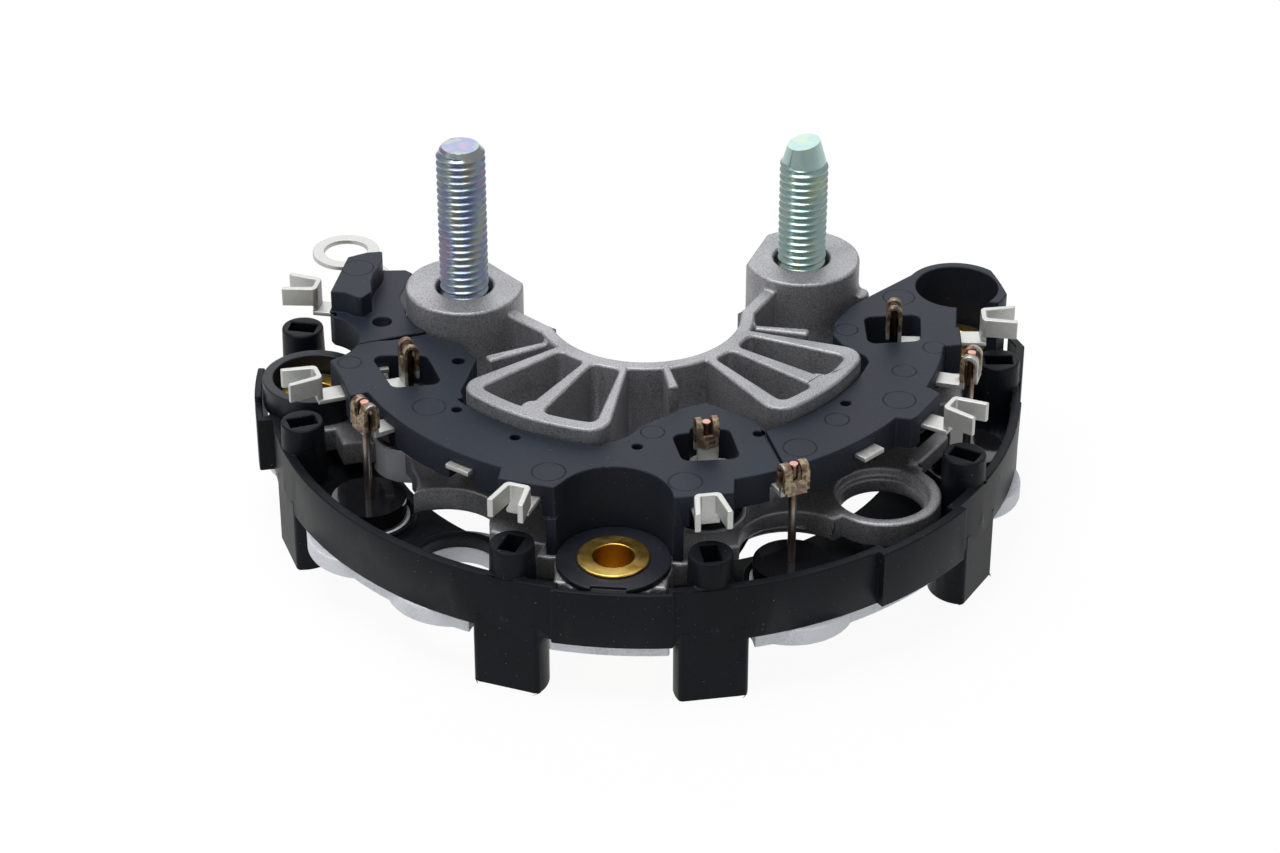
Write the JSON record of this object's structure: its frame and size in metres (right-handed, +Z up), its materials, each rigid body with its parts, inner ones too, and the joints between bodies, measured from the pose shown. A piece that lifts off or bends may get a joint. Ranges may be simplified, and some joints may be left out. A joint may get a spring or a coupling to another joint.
{
  "type": "alternator rectifier",
  "caption": "Horseshoe-shaped alternator rectifier with a finned die-cast heat sink, terminal studs, moulded connector board, wire clips and press-fit diodes.",
  "frame": {"origin": "middle of the footprint box on the plane of the six feet; the centre of the round inner rim lies 0.8 mm to +X and 16.28 mm to +Y of it", "axes": "-Y towards the front fixing eyelet, +Z up along the terminal studs, +X to the right seen from the front"},
  "size_m": [0.126, 0.092, 0.0607],
  "materials": {
    "cast_aluminium": "sand-textured die casting",
    "pale_plate": "smooth pale silver",
    "black_moulding": "matt black",
    "dark_board": "satin blue-black",
    "tinned_copper": "tin-plated, heat-tinted brown at the joints",
    "diode_case": "nickel-plated copper",
    "diode_resin": "glossy black",
    "lead_wire": "tinned copper wire",
    "bush_plastic": "matt black",
    "brass": "bright golden",
    "zinc_blue": "blue iridescent zinc",
    "zinc_green": "greenish iridescent zinc"
  },
  "bodies": {
    "root": {"connector_board_left": "dark_board", "connector_board_middle": "dark_board", "connector_board_right": "dark_board", "front_left_wire_clip": "tinned_copper", "front_mount_bush": "bush_plastic", "front_mount_rivet": "brass", "front_phase_conductor": "tinned_copper", "front_right_wire_clip": "tinned_copper", "insulator_ring": "black_moulding", "left_front_wire_clip": "tinned_copper", "left_mount_bush": "bush_plastic", "left_mount_rivet": "brass", "left_phase_conductor": "tinned_copper", "left_rear_wire_clip": "tinned_copper", "left_terminal_stud": "zinc_blue", "negative_diode_front_cup": "diode_case", "negative_diode_front_lead": "lead_wire", "negative_diode_front_resin": "diode_resin", "negative_diode_left_cup": "diode_case", "negative_diode_left_lead": "lead_wire", "negative_diode_left_resin": "diode_resin", "negative_diode_right_cup": "diode_case", "negative_diode_right_lead": "lead_wire", "negative_diode_right_resin": "diode_resin", "negative_heat_sink": "pale_plate", "positive_diode_front_cup": "diode_case", "positive_diode_front_lead": "lead_wire", "positive_diode_front_resin": "diode_resin", "positive_diode_left_cup": "diode_case", "positive_diode_left_lead": "lead_wire", "positive_diode_left_resin": "diode_resin", "positive_diode_right_cup": "diode_case", "positive_diode_right_lead": "lead_wire", "positive_diode_right_resin": "diode_resin", "positive_heat_sink": "cast_aluminium", "right_front_wire_clip": "tinned_copper", "right_mount_bush": "bush_plastic", "right_mount_rivet": "brass", "right_phase_conductor": "tinned_copper", "right_rear_wire_clip": "tinned_copper", "right_terminal_stud": "zinc_green"}
  },
  "joints": []
}
